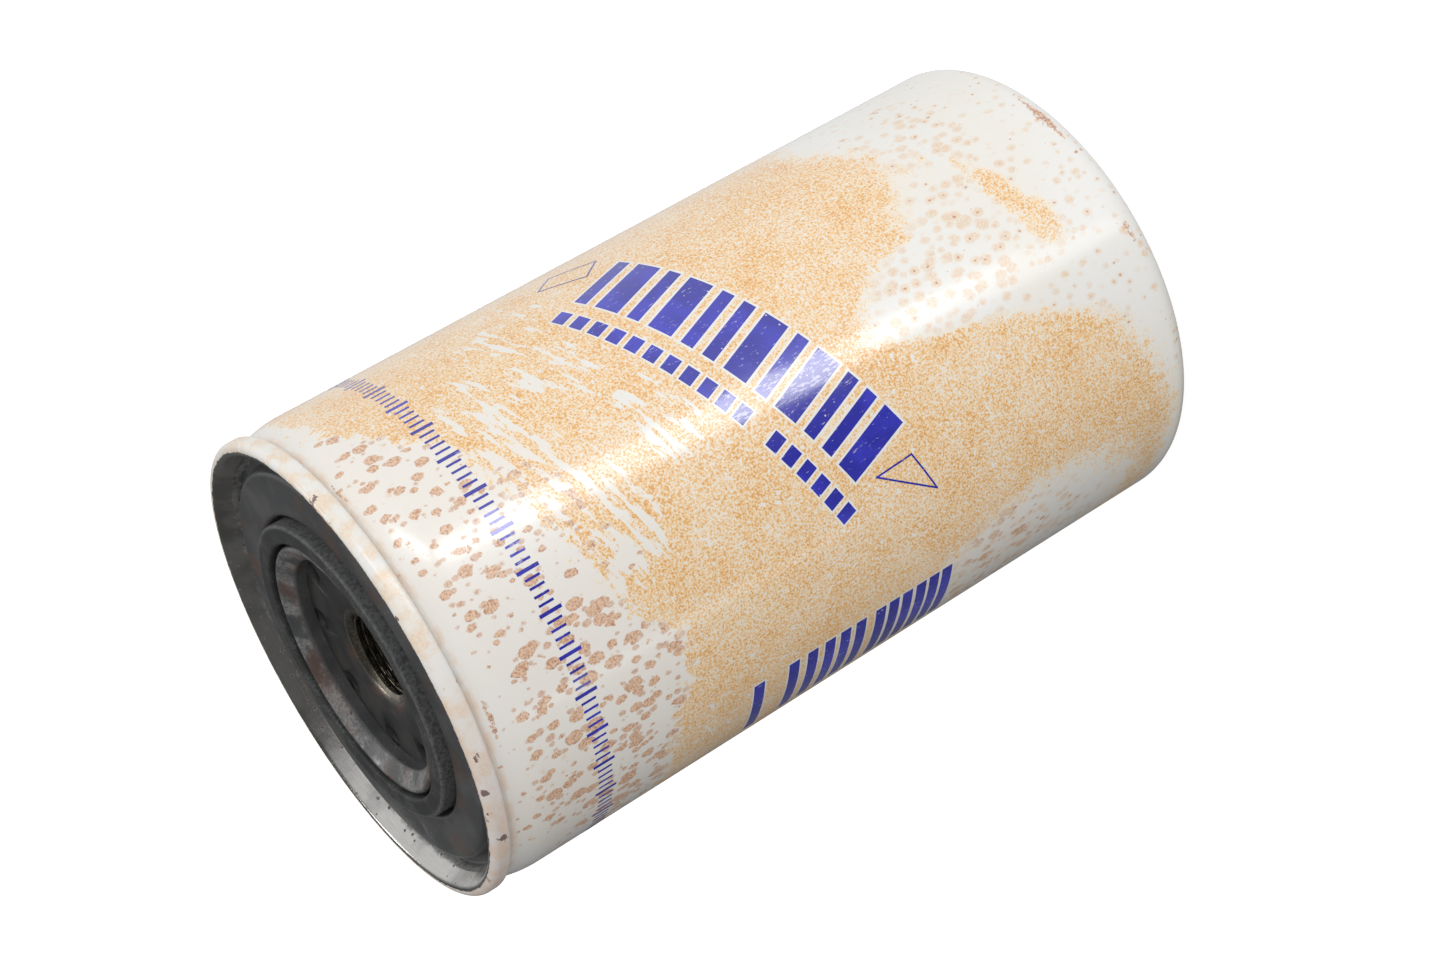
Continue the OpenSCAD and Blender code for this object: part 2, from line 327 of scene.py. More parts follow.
# ---- colours ----

WHITE = (0.80, 0.79, 0.76)
WHITE_WARM = (0.80, 0.775, 0.72)
HAZE = (0.83, 0.765, 0.69)
CREAM = (0.84, 0.745, 0.60)
TAN_PALE = (0.78, 0.66, 0.49)
TAN = (0.86, 0.55, 0.24)
TAN_DEEP = (0.70, 0.34, 0.10)
SPOT = (0.76, 0.50, 0.325)
SPOT_DEEP = (0.50, 0.235, 0.115)
RUST = (0.36, 0.12, 0.055)
BLUE = (0.022, 0.024, 0.35)
BLUE_PALE = (0.040, 0.042, 0.53)
# pale scuffed ink, also used for the painted highlight's glare on the ink
INK_SCUFF_AND_GLARE = (0.52, 0.50, 0.66)
STEEL = (0.50, 0.49, 0.475)
STEEL_PALE = (0.68, 0.67, 0.65)
STEEL_DARK = (0.10, 0.095, 0.09)
PIT = (0.045, 0.022, 0.016)
LID_GREY = (0.046, 0.048, 0.050)
LID_GREY_PALE = (0.072, 0.073, 0.074)
LID_BROWN = (0.10, 0.055, 0.035)
LID_RUST = (0.11, 0.042, 0.022)
LID_DUST = (0.20, 0.195, 0.185)
LID_FLECK = (0.34, 0.33, 0.31)
PEACH = (0.80, 0.60, 0.43)
PEACH_PALE = (0.80, 0.69, 0.55)
PINK = (0.56, 0.43, 0.41)
CHIPPED = (0.13, 0.07, 0.065)
OILED = (0.030, 0.031, 0.032)
OILED_PALE = (0.052, 0.050, 0.047)
PLATE_RUST = (0.12, 0.045, 0.025)
BORE = (0.36, 0.33, 0.28)
BORE_DARK = (0.20, 0.17, 0.13)
PAPER = (0.70, 0.55, 0.33)
PAPER_DARK = (0.55, 0.40, 0.21)


# ---- enamel ----

STREAK_SLOPE = radians(17)


def bare_enamel(s):
    """Colour of the enamel where it is clean."""
    return s.mix(s.step(s.noise(0.035, offset=90), 0.4, 0.65), WHITE, WHITE_WARM)


def orange_peel(s):
    """The enamel's slow ripple, which the ink and the margins share."""
    return s.bump(s.noise(0.30, offset=5), 0.035)


def wiped_streaks(s, arc, height, edge):
    """Share of the tan stain wiped away in pale streaks, which climb towards +X."""
    lean, rise = cos(STREAK_SLOPE), sin(STREAK_SLOPE)
    along = s.plus(s.times(arc, lean), s.times(height, rise))
    across = s.minus(s.times(height, lean), s.times(arc, rise))
    lines = s.node("CombineXYZ", s.times(along, 0.10), s.times(across, 0.46))
    wiped = s.noise(1, 4, 0.6, at=lines.outputs[0])
    wiped = s.plus(wiped, s.times(s.minus(s.field("wiped"), 1), 0.34))
    wiped = s.plus(wiped, s.swing(edge, 0.16))
    return s.step(wiped, 0.50, 0.53)


def tan_cover(s, arc, height):
    """Share of the enamel under the tan stain, without its wiped streaks and pale flecks."""
    edge = s.noise(0.42, 5, 0.62, offset=7)
    sharp = s.step(height, 60, 125, 0.15, 0.55)
    depth = s.plus(s.field("tan"), s.swing(edge, 17))
    cover = s.step(s.times(depth, sharp), -1, 1)
    cover = s.times(cover, s.minus(1, wiped_streaks(s, arc, height, edge)))
    flecks = s.step(s.noise(0.62, offset=23), 0.66, 0.71)
    return s.times(cover, s.minus(1, s.times(flecks, 0.7)))


def add_tan(s, colour, cover, grain):
    """The tan stain: a stipple that thins out where the cover does."""
    clump = s.noise(0.10, offset=40)
    stipple = s.plus(grain, s.times(s.minus(cover, 1), 0.42))
    stipple = s.plus(stipple, s.swing(clump, 0.16))
    colour = s.mix(s.times(s.step(stipple, 0.20, 0.42), 0.72), colour, CREAM)
    colour = s.mix(s.step(stipple, 0.40, 0.54), colour, TAN)
    return s.mix(s.step(stipple, 0.53, 0.65), colour, TAN_DEEP)


def add_spots(s, colour, free, pepper):
    """Long brown spots, darker at the edge and peppered inside. Also gives the share they cover."""
    ragged = s.swing(s.noise(1.1, offset=14), 0.16)
    ragged = s.plus(ragged, s.times(s.minus(0.5, pepper), 0.13))
    distance, chance, kind = s.cells(2.8, stretch=(1, 1, 0.66), wobble=0.5)
    size = s.minus(s.times(s.field("spots"), 0.58), s.times(chance, 0.38))
    deep = s.minus(size, s.plus(distance, ragged))
    large = s.step(deep, -0.02, 0.07)
    distance, chance, _ = s.cells(2.0, stretch=(1, 1, 0.75), wobble=0.4, offset=27)
    size = s.minus(s.times(s.field("spots"), 0.50), s.times(chance, 0.38))
    small = s.step(s.minus(size, s.plus(distance, ragged)), -0.03, 0.16)
    spot = s.times(s.math("MAXIMUM", large, s.times(small, 0.8)), free)
    brown = s.mix(s.step(pepper, 0.44, 0.60), SPOT, SPOT_DEEP)
    brown = s.mix(s.times(s.step(deep, 0.12, 0.04), 0.3), brown, SPOT_DEEP)
    rusted = s.times(s.step(pepper, 0.58, 0.68), s.step(kind, 0.4, 0.6))
    brown = s.mix(rusted, brown, RUST)
    return s.mix(s.times(spot, 0.88), colour, brown), spot


def add_specks(s, colour, free, pepper):
    """Small rust specks, each in a pale halo."""
    distance, chance, kind = s.cells(2.3, stretch=(1, 1, 0.8), wobble=0.8, offset=50)
    size = s.minus(s.times(s.field("specks"), 0.74), s.times(chance, 0.34))
    halo = s.times(s.step(s.minus(size, distance), -0.05, 0.34), free)
    pale = s.mix(s.step(pepper, 0.40, 0.60), TAN_PALE, SPOT)
    colour = s.mix(s.times(halo, 0.72), colour, pale)
    core = s.times(s.step(distance, 0.16, 0.07), s.step(kind, 0.3, 0.5))
    core = s.times(core, s.step(halo, 0.2, 0.5))
    return s.mix(s.times(core, 0.85), colour, SPOT_DEEP)


def add_dirt(s, colour):
    """Scattered dark pricks of dirt."""
    prick = s.dots(2.3, (0.08, 0.04), (0.80, 0.84), offset=11)
    return s.mix(s.times(prick, 0.75), colour, SPOT_DEEP)


def enamel_done(s, **values):
    """Finishes an enamel under the clear gloss that the can's enamel and its margins share."""
    return s.done(Coat_Weight=0.80, Coat_Roughness=0.13, **values)


def enamel_can():
    """The can's white enamel with all its stains and rust."""
    s = Shader("stained_enamel")
    arc, _, height = s.cylinder()
    grain = s.noise(2.2, 3, 0.6)
    pepper = s.noise(2.0, 3, 0.65, offset=33)
    cover = tan_cover(s, arc, height)
    free = s.minus(1, s.times(cover, 0.9))
    colour = s.mix(s.times(s.field("spots"), 0.5), bare_enamel(s), HAZE)
    colour = add_tan(s, colour, cover, grain)
    colour, spot = add_spots(s, colour, free, pepper)
    colour = add_specks(s, colour, free, pepper)
    colour = add_dirt(s, colour)
    rough = s.plus(0.30, s.times(s.math("MAXIMUM", cover, spot), 0.12))
    rough = s.plus(rough, s.swing(grain, 0.15))

    # rust breaking through at the corners
    eaten = s.plus(s.field("rust"), s.swing(s.noise(0.8, 4, 0.7, offset=3), 1.6))
    eaten = s.step(eaten, 0.48, 0.72)
    colour = s.mix(s.times(eaten, 0.85), colour, s.mix(s.step(grain, 0.40, 0.60), RUST, SPOT))

    # grime and peach stain in the neck under the seam
    neck = s.step(s.math("ABSOLUTE", s.minus(height, CREST - 5.4)), 1.3, 0.3)
    neck = s.times(neck, s.step(s.noise(0.25, 3, offset=31), 0.35, 0.65))
    colour = s.mix(s.times(neck, 0.45), colour, SPOT)
    relief = s.bump(s.times(grain, cover), 0.012, after=orange_peel(s))
    return enamel_done(s, Base_Color=colour, Roughness=rough, Normal=relief)


def enamel_margin():
    """The clean enamel that shows round the blue print."""
    s = Shader("clean_enamel")
    soil = s.step(s.noise(0.5, 3, 0.6, offset=61), 0.60, 0.68)
    soil = s.times(soil, s.step(s.noise(1.25, 3, 0.62), 0.45, 0.6))
    colour = s.mix(soil, bare_enamel(s), TAN)
    return enamel_done(s, Base_Color=colour, Roughness=0.30, Normal=orange_peel(s))


def blue_ink():
    """Glossy blue ink with pinholes and worn pale scuffs, which thicken into a painted highlight in a
    band near 5 mm of arc from -Y.
    """
    s = Shader("blue_ink")
    thin = s.step(s.noise(0.06, 3, 0.6, offset=2), 0.46, 0.62)
    colour = s.mix(s.times(thin, 0.8), BLUE, BLUE_PALE)
    pinhole = s.dots(1.5, (0.17, 0.09), (0.84, 0.88), offset=17)
    colour = s.mix(s.times(pinhole, 0.75), colour, WHITE)
    # near 5 mm of arc from -Y the scuffs thicken: painted highlight glare on the ink, over the real wear
    from_glare_line = s.math("ABSOLUTE", s.minus(s.cylinder()[0], 5.0))
    glare_band = s.minus(1, s.times(from_glare_line, 0.14), clamp=True)
    scuff_and_glare = s.noise(1.1, 4, 0.7, stretch=(1.6, 1.6, 0.45), offset=9)
    scuff_and_glare = s.step(s.plus(scuff_and_glare, s.times(glare_band, 0.13)), 0.62, 0.68)
    colour = s.mix(s.times(scuff_and_glare, 0.65), colour, INK_SCUFF_AND_GLARE)
    fine = s.bump(s.noise(2.0, offset=15), 0.01, after=orange_peel(s))
    return s.done(Base_Color=colour, Roughness=0.20, Normal=fine,
                  Coat_Weight=1.0, Coat_Roughness=0.09, Coat_IOR=1.6)


# ---- metal, rubber and the rest ----

PINK_SIDE = (-0.92, -0.2, 0)    # the crest's pink tinge grows this way


def lid_coating(s, fine):
    """The lid's dark coating, rubbed, dusty and flecked."""
    cloudy = s.noise(0.09, 3, 0.55, offset=3)
    dark = s.mix(s.step(cloudy, 0.40, 0.66), LID_GREY, LID_GREY_PALE)
    browned = s.step(s.noise(0.07, 3, 0.6, offset=77), 0.52, 0.66)
    dark = s.mix(s.times(browned, 0.55), dark, LID_BROWN)
    dust = s.times(s.step(fine, 0.56, 0.70), s.step(cloudy, 0.45, 0.7))
    dark = s.mix(s.times(dust, 0.35), dark, LID_DUST)
    fleck = s.dots(1.6, (0.16, 0.08), (0.86, 0.9), offset=83)
    return s.mix(s.times(fleck, 0.6), dark, LID_FLECK)


def lid_steel(s):
    """The lid's bare steel, brushed by the seaming chuck, and its share of dark pits."""
    brushed = s.noise(1.0, stretch=(0.25, 0.25, 3.0), offset=12)
    steel = s.mix(brushed, STEEL, STEEL_PALE)
    tarnish = s.step(s.noise(0.12, 3, 0.5, stretch=(1, 1, 0.4), offset=14), 0.44, 0.66)
    steel = s.mix(s.times(tarnish, 0.45), steel, STEEL_DARK)
    pit = s.dots(1.5, (0.32, 0.20), (0.78, 0.82), offset=33)
    return s.mix(s.times(pit, 0.9), steel, PIT), pit


def crest_enamel(s, fine):
    """The white enamel on the outside of the crest, and its share of chips."""
    shell = s.mix(s.step(s.noise(0.12, 3, 0.6, offset=29), 0.38, 0.66), WHITE, WHITE_WARM)
    cream = s.times(s.step(s.noise(0.17, 4, 0.65, offset=47), 0.40, 0.60), 0.85)
    shell = s.mix(cream, shell, s.mix(s.step(fine, 0.40, 0.6), PEACH, PEACH_PALE))
    pink = s.times(s.step(s.vector("DOT_PRODUCT", s.pos, PINK_SIDE), 5, 50), 0.38)
    shell = s.mix(pink, shell, PINK)
    chip = s.dots(5.5, (0.20, 0.15), (0.72, 0.74), wobble=3.0, offset=71)
    return s.mix(s.times(chip, 0.85), shell, CHIPPED), chip


def lid_finish():
    """White enamel outside the crest, bare steel inside it, dark coating on the face."""
    s = Shader("lid_finish")
    _, radius, _ = s.cylinder()
    ragged = s.plus(radius, s.swing(s.noise(0.55, 4, 0.7), 1.3))
    fine = s.noise(1.6, 3, 0.6, offset=20)
    steel, pit = lid_steel(s)
    shell, chip = crest_enamel(s, fine)

    # worn steel and rust on the lip round the opening
    lip = s.step(s.math("ABSOLUTE", s.minus(radius, 27.2)), 2.4, 1.2)
    worn = s.times(lip, s.step(s.noise(0.13, 4, 0.65, offset=41), 0.40, 0.60))
    worn = s.times(worn, s.step(fine, 0.38, 0.58, 0.25, 0.8))
    rusty = s.times(lip, s.step(s.noise(0.06, offset=52), 0.50, 0.60))
    dark = s.mix(s.times(rusty, 0.5), lid_coating(s, fine), LID_RUST)

    # bare from the foot of the chuck wall to the crest
    wall = s.step(s.minus(ragged, s.times(s.noise(0.2, offset=6), 1.2)), 48.0, 48.9)
    bare = s.math("MAXIMUM", wall, s.times(worn, 0.62))
    enamel = s.step(ragged, CAN_R - 1.95, CAN_R - 1.75)
    colour = s.mix(enamel, s.mix(bare, dark, steel), shell)
    metal = s.times(s.times(bare, s.minus(1, pit)), s.minus(1, enamel))
    rough = s.plus(s.step(bare, 0, 1, 0.46, 0.20), s.swing(fine, 0.22))
    rough = s.mix(enamel, rough, (0.27, 0.27, 0.27))
    relief = s.minus(s.times(fine, 0.5), s.plus(pit, s.times(chip, enamel)))
    normal = s.bump(s.noise(0.35, 3, 0.6, offset=8), 0.05, after=s.bump(relief, 0.03))
    return s.done(Base_Color=colour, Metallic=metal, Roughness=rough, Normal=normal,
                  Coat_Weight=0.25, Coat_Roughness=0.2)


def plate_finish():
    """Dark oiled steel, bare in the thread and round its mouth."""
    s = Shader("plate_finish")
    _, radius, _ = s.cylinder()
    fine = s.noise(1.7, 3, 0.6)
    rings = s.math("SINE", s.times(radius, 9.0))
    dark = s.mix(s.step(s.noise(0.12, 3, 0.6, offset=4), 0.4, 0.65), OILED, OILED_PALE)
    mouth = s.step(radius, 12.0, 9.6)
    bare = s.times(mouth, s.step(s.noise(0.2, 3, offset=9), 0.25, 0.55, 0.5, 1.0))
    steel = s.mix(s.step(fine, 0.4, 0.65), BORE, BORE_DARK)
    tinge = s.times(s.step(radius, 15.0, 11.5), s.step(s.noise(0.11, offset=62), 0.48, 0.60))
    dark = s.mix(s.times(tinge, 0.7), dark, PLATE_RUST)
    colour = s.mix(bare, dark, steel)
    rough = s.plus(s.step(bare, 0, 1, 0.42, 0.24), s.swing(fine, 0.2))
    cast = s.times(s.plus(fine, s.times(rings, 0.04)), s.step(radius, 9.8, 11.5))
    return s.done(Base_Color=colour, Metallic=s.step(bare, 0, 0.6, 0.2, 1.0), Roughness=rough,
                  Normal=s.bump(cast, 0.02))


def rubber(name, base, dusty, dust_amount, rubbed_from=None):
    """Matte rubber with dust in patches, and rubbed pale outside the radius rubbed_from."""
    s = Shader(name)
    fine = s.noise(2.2, 3, 0.65)
    cloud = s.noise(0.16, 4, 0.6, offset=6)
    dust = s.times(s.step(cloud, 0.42, 0.64), s.step(fine, 0.42, 0.62))
    colour = s.mix(s.times(dust, dust_amount), base, dusty)
    if rubbed_from:
        rim = s.step(s.cylinder()[1], rubbed_from, rubbed_from + 0.9)
        worn = s.times(rim, s.step(s.noise(1.3, 3, 0.65, offset=15), 0.36, 0.60, 0.25, 1.0))
        colour = s.mix(s.times(worn, 0.75), colour, dusty)
    rough = s.plus(0.55, s.times(fine, 0.2))
    return s.done(Base_Color=colour, Roughness=rough, Normal=s.bump(fine, 0.03),
                  Specular_IOR_Level=0.4)


def sheet_metal(name, base, dark, rough=0.32):
    """Plain drawn metal, dull in patches."""
    s = Shader(name)
    fine = s.noise(1.4, 3, 0.6, stretch=(1, 1, 0.3))
    patch = s.step(s.noise(0.1, 3, 0.6, offset=5), 0.4, 0.65)
    colour = s.mix(s.times(patch, 0.5), s.mix(fine, base, dark), dark)
    gloss = s.plus(rough, s.swing(fine, 0.2))
    return s.done(Base_Color=colour, Metallic=1.0, Roughness=gloss, Normal=s.bump(fine, 0.01))


def moulded(name, base, dark, rough):
    """Moulded or poured plastic, faintly clouded."""
    s = Shader(name)
    fine = s.noise(1.1, 3, 0.6)
    cloud = s.noise(0.15, 3, 0.6, offset=9)
    colour = s.mix(s.step(cloud, 0.35, 0.7), base, dark)
    return s.done(Base_Color=colour, Roughness=s.plus(rough, s.times(fine, 0.15)),
                  Normal=s.bump(fine, 0.02))


def paper():
    """Resin-treated filter paper, with its faint pressed ribs."""
    s = Shader("filter_paper")
    fibre = s.noise(3.0, 4, 0.7)
    ribs = s.math("SINE", s.times(s.cylinder()[2], 2 * pi / 2.5))
    colour = s.mix(s.step(fibre, 0.35, 0.7), PAPER, PAPER_DARK)
    height = s.plus(s.times(fibre, 0.5), s.times(ribs, 0.4))
    return s.done(Base_Color=colour, Roughness=0.85, Normal=s.bump(height, 0.06),
                  Specular_IOR_Level=0.2)


# ---- stain fields on the can ----

# upper and lower edge of the tan stain, as (angle, height) points round the can
TAN_TOP = [
    (-180, 152), (-150, 160), (-120, 148), (-90, 150), (-62, 146), (-50, 145), (-44, 141),
    (-36, 139), (-29, 139), (-20, 148), (-10, 150), (0, 152.5), (10, 155.5), (20, 158.5),
    (30, 160.5), (36, 165), (42, 170), (48, 175), (55, 180), (75, 182), (100, 180), (125, 168),
    (150, 158), (180, 152),
]
TAN_BOTTOM = [
    (-180, 30), (-150, 12), (-120, 20), (-90, 8), (-62, 6), (-45, 4), (-30, 9), (-20, 14),
    (-14, 20), (-8, 32), (-4, 42), (0, 60), (5, 72), (10, 70), (15, 65), (19, 60), (22, 49),
    (30, 45), (35, 41), (45, 40), (52, 41), (57, 45), (63, 49), (75, 47), (95, 52), (120, 30),
    (150, 44), (180, 30),
]
# ellipses added to the stain and left out of it: (angle, height, half width, half height, tilt)
TAN_PATCHES = [
    (10, 22.5, 7, 4.6, 12), (20, 25.5, 11, 3.6, 13), (31, 28.7, 4, 1.6, 8), (37.5, 37.8, 5, 1.1, 4),
    (39, 33.5, 2.5, 1, 0), (140, 18, 10, 6, -20), (-130, 166, 9, 3, 12), (100, 28, 8, 4, 10),
]
TAN_HOLES = [
    (-68, 48, 17, 27, 6), (170, 90, 9, 12, 20), (-150, 60, 14, 7, -15), (105, 110, 6, 14, 10),
    (-112, 104, 7, 9, 0),
]
# soft-edged zones of the other stains: (angle, height, half width, half height, strength)
SPOT_ZONES = [
    (-42, 158, 46, 28, 1.0), (2, 162, 36, 24, 0.9), (26, 172, 38, 14, 0.9), (-66, 62, 26, 22, 0.85),
    (-66, 130, 20, 28, 0.6), (150, 168, 76, 20, 0.85), (-130, 168, 60, 18, 0.9),
    (-150, 60, 24, 14, 0.8),
]
SPECK_ZONES = [
    (12, 52, 26, 30, 1.0), (32, 34, 34, 20, 0.95), (48, 30, 26, 18, 0.8), (-2, 16, 28, 20, 0.8),
    (26, 14, 40, 14, 0.7), (-68, 50, 26, 34, 0.9), (62, 28, 26, 22, 0.65), (150, 22, 70, 20, 0.8),
    (-140, 20, 60, 16, 0.7), (30, 172, 36, 14, 0.5), (-60, 170, 40, 18, 0.5), (0, -5, 240, 14, 0.72),
]
WIPED_ZONES = [
    (-3, 143, 21, 14, 1.0), (19, 150, 19, 11, 1.0), (14, 122, 14, 12, 0.93), (37, 151, 14, 11, 0.93),
    (36, 132, 13, 12, 0.91), (54, 136, 10, 13, 0.87), (63, 126, 7, 8, 0.8), (-58, 134, 12, 10, 0.7),
    (140, 130, 34, 18, 0.95), (-120, 132, 24, 14, 0.85), (24, 64, 10, 6, 0.75),
]
RUST_ZONES = [
    (32, 4.6, 9, 1.1, 0.9), (-2, 5, 4, 1.2, 0.55), (-110, 3.5, 16, 2.5, 0.9), (165, 4, 14, 2.4, 0.8),
    (-24, 183, 6, 1.2, 0.72), (37, 184, 4, 0.9, 0.65), (-140, 183.5, 9, 1.2, 0.8),
    (110, 183, 7, 1.2, 0.7), (-70, -3.5, 34, 3, 0.62), (130, -4, 26, 3, 0.66),
]
STAIN_DEPTH = 9.0               # the tan stain is even this far inside its edge


def along_points(points, angle):
    """Heights on a line of (angle, height) points, eased between them."""
    angles, heights = np.array(points, float).T
    i = np.clip(np.searchsorted(angles, angle) - 1, 0, len(points) - 2)
    t = (angle - angles[i]) / (angles[i + 1] - angles[i])
    return heights[i] + (heights[i + 1] - heights[i]) * t * t * (3 - 2 * t)


def ellipse(angle, height, centre_angle, centre_height, half_w, half_h, tilt=0.0):
    """Distances in mm inside (positive) or outside (negative) an ellipse on the can."""
    turn = (angle - centre_angle + 180) % 360 - 180
    u, v = np.radians(turn) * CAN_R, height - centre_height
    c, n = cos(radians(tilt)), sin(radians(tilt))
    return (1 - np.hypot((u * c + v * n) / half_w, (v * c - u * n) / half_h)) * min(half_w, half_h)


def zone(angle, height, zones):
    """The strongest of several soft-edged zones, 0 to 1."""
    best = np.zeros(len(angle))
    for centre_angle, centre_height, w, h, strength in zones:
        inside = ellipse(angle, height, centre_angle, centre_height, w, h) / min(w, h)
        t = np.clip(inside / 0.55 + 0.3, 0, 1)
        best = np.maximum(best, strength * t * t * (3 - 2 * t))
    return best


def tan_depth(angle, height):
    """Distances in mm inside the tan stain's edge, steeper at the patches' edges."""
    below_top = along_points(TAN_TOP, angle) - height
    depth = np.minimum(below_top, height - along_points(TAN_BOTTOM, angle))
    for patch in TAN_PATCHES:
        depth = np.maximum(depth, 4.5 * ellipse(angle, height, *patch))
    for hole in TAN_HOLES:
        depth = np.minimum(depth, -ellipse(angle, height, *hole))
    return np.clip(depth, -STAIN_DEPTH, STAIN_DEPTH)


def paint_fields(obj):
    """Stores the stain fields that the enamel reads, one value a vertex."""
    places = np.empty(len(obj.data.vertices) * 3)
    obj.data.vertices.foreach_get("co", places)
    x, y, height = places.reshape(-1, 3).T / MM
    angle = np.degrees(np.arctan2(x, -y))
    # on the closed end the height runs on below zero, towards the middle
    height = height - np.where(height < FOOT_H, np.clip(FOOT_R - np.hypot(x, y), 0, None), 0)
    fields = {
        "tan": tan_depth(angle, height),
        "spots": zone(angle, height, SPOT_ZONES),
        "specks": zone(angle, height, SPECK_ZONES),
        "wiped": zone(angle, height, WIPED_ZONES),
        "rust": zone(angle, height, RUST_ZONES),
    }
    for name, values in fields.items():
        obj.data.attributes.new(name, "FLOAT", "POINT").data.foreach_set("value", values)


# ---- casing ----

def line_inside(can, material):
    """Gives the can's inner faces a material of their own."""
    can.data.materials.append(material)
    for face in can.data.polygons:
        x, y, z = face.center
        if z < FOOT_H * MM:
            faces_in = face.normal.z > 0
        else:
            faces_in = face.normal.x * x + face.normal.y * y < 0
        face.material_index = int(faces_in)


def make_can(material, inside_material):
    """The drawn can: raised middle, foot ring, wall, neck, and the hook inside the seam."""
    wall = WALL_R - CAN_T / 2
    hook = CAN_R - LID_T - LAYER_GAP - CAN_T / 2
    inner_wall = hook - CAN_T - LID_T - 2 * LAYER_GAP
    curl = (hook - inner_wall) / 2 - 0.01
    curl_z = CREST - LID_T - 0.4 - CAN_T / 2
    path = rounded([
        (0, 2.35), (36, 2.35, 1.2), (38.4, CAN_T / 2, 1.2), (wall, CAN_T / 2, 5.15),
        (wall, CREST - 10.5, 25), (wall - 1.35, CREST - 5.7, 1), (inner_wall, CREST - 4.75, 0.6),
        (inner_wall, curl_z, curl), (hook, curl_z, curl), (hook, CREST - 3.1)
    ], steps=10)
    bm = revolved(densified(sheet(path, CAN_T), 2.4))
    can = finish_mesh("can_body", bm, material)
    line_inside(can, inside_material)
    paint_fields(can)
    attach(can, "casing")
    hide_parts("can_shell")


WELD_MARKS = ((43.2, -15), (42.0, 105), (41.0, 225), (41.5, 152))  # (radius, angle from +X)


def weld_dimple(x, y):
    """Depth of the spot-weld marks on the lid's face: dimples, each in a slightly raised ring."""
    depth = 0.0
    for radius, angle in WELD_MARKS:
        a = radians(angle)
        away = math.hypot(x - radius * cos(a), y - radius * sin(a))
        ring = 0.06 * math.exp(-((away - 2.6) / 0.7) ** 2)
        depth = max(depth, 0.22 * math.exp(-(away / 1.5) ** 2) - ring)
    return depth


def make_lid(material):
    """The seaming lid: lip, gasket groove, face, chuck wall, crest and its curl under the can."""
    top, flat = CREST - LID_T / 2, PLATEAU - LID_T / 2
    groove = PLATE_TOP + LAYER_GAP + LID_T / 2
    outer = CAN_R - CLEAR - LID_T / 2
    inner = CAN_R - LID_T - 2 * LAYER_GAP - CAN_T - LID_T / 2
    curl = (outer - inner) / 2 - 0.01
    path = rounded([
        (25.3, PLATE_TOP + LAYER_GAP), (25.3, PLATE_TOP + 2.6, 0.6), (29.1, CREST - 0.95, 0.55),
        (29.65, groove, 0.8), (35.5, groove, 0.8), (36.1, flat, 0.7), (45.7, flat, 0.9),
        (46.6, CREST - 6, 1), (48.8, CREST - 6, 0.9), (49.75, CREST - 3.6, 0.6), (51.5, top, 0.8),
        (outer, top, 1.3), (outer, CREST - 4, curl), (inner, CREST - 4, curl), (inner, CREST - 2.4)
    ])

    def shape(r, z, angle):
        """Presses the weld marks into the face."""
        if 37 < r < 45 and z > PLATEAU - 1:
            z -= weld_dimple(r * cos(angle), r * sin(angle))
        return r, z

    bm = revolved(densified(sheet(path, LID_T), 0.9), shape=shape)
    lid = finish_mesh("lid", bm, material)
    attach(lid, "casing")
    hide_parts("seaming_lid")


INLET_HOLES = 9
HOLE_CIRCLE_R = 22.8
HOLE_R = 2.8
FIRST_HOLE = 15                 # degrees from +X


def cut_inlet_holes(plate, material):
    """Cuts the inlet holes out of the plate."""
    holes = bmesh.new()
    for i in range(INLET_HOLES):
        a = radians(FIRST_HOLE + 360 / INLET_HOLES * i)
        centre = Vector((HOLE_CIRCLE_R * cos(a), HOLE_CIRCLE_R * sin(a), PLATE_TOP - PLATE_T / 2))
        bmesh.ops.create_cone(holes, cap_ends=True, segments=40, radius1=HOLE_R * MM, radius2=HOLE_R * MM,
                              depth=(PLATE_T + 2) * MM, matrix=Matrix.Translation(centre * MM))
    cutter = finish_mesh("hole_cutter", holes, material)
    cut = plate.modifiers.new("inlet_holes", "BOOLEAN")
    cut.operation, cut.solver, cut.object = "DIFFERENCE", "EXACT", cutter
    bpy.context.view_layer.objects.active = plate
    bpy.ops.object.modifier_apply(modifier=cut.name)
    bpy.data.objects.remove(cutter)


def make_base_plate(material):
    """The thread plate, with a real helical thread and its inlet holes."""
    z_low = PLATE_LOW.z
    collar = 13.2
    weld = PLATEAU - LID_T - LAYER_GAP
    bore_top = PLATE_TOP - 1.6
    under, flange_under = PLATE_TOP - PLATE_T, weld - PLATE_T
    rows = round((bore_top - z_low) / (THREAD_PITCH / 16))
    bore = [Vector((THREAD_R, z_low + (bore_top - z_low) * i / rows)) for i in range(rows + 1)]
    face = rounded([
        (THREAD_R + 0.6, PLATE_TOP - 1.1), (THREAD_R + 1, PLATE_TOP - 0.7), (14.5, PLATE_TOP, 12),
        (36.9, PLATE_TOP)
    ], steps=10)
    rim = [Vector(p) for p in (
        (37.4, weld), (45.3, weld), (45.3, flange_under), (39.5, flange_under), (38.7, under),
        (collar + 1, under), (collar, under - 1), (collar, z_low + 0.6), (collar - 0.6, z_low)
    )]

    def shape(r, z, angle):
        """Cuts the thread: the bore's points move out to its grooves, less so at both ends."""
        if r > THREAD_R + 0.01:
            return r, z
        turn = ((z - z_low) / THREAD_PITCH - angle / (2 * pi)) % 1
        groove = max(0.0, min(1.0, abs(turn - 0.5) * 2 * 1.45 - 0.28))
        fade = min(1, (z - z_low) / 1.2, (bore_top - z + 0.5) / 1.2)
        return r + THREAD_DEPTH * groove * fade, z

    bm = revolved(bore + face + rim, segments=192, shape=shape)
    plate = finish_mesh("thread_plate", bm, material, sharp_deg=40)
    cut_inlet_holes(plate, material)
    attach(plate, "casing")
    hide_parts("base_plate")


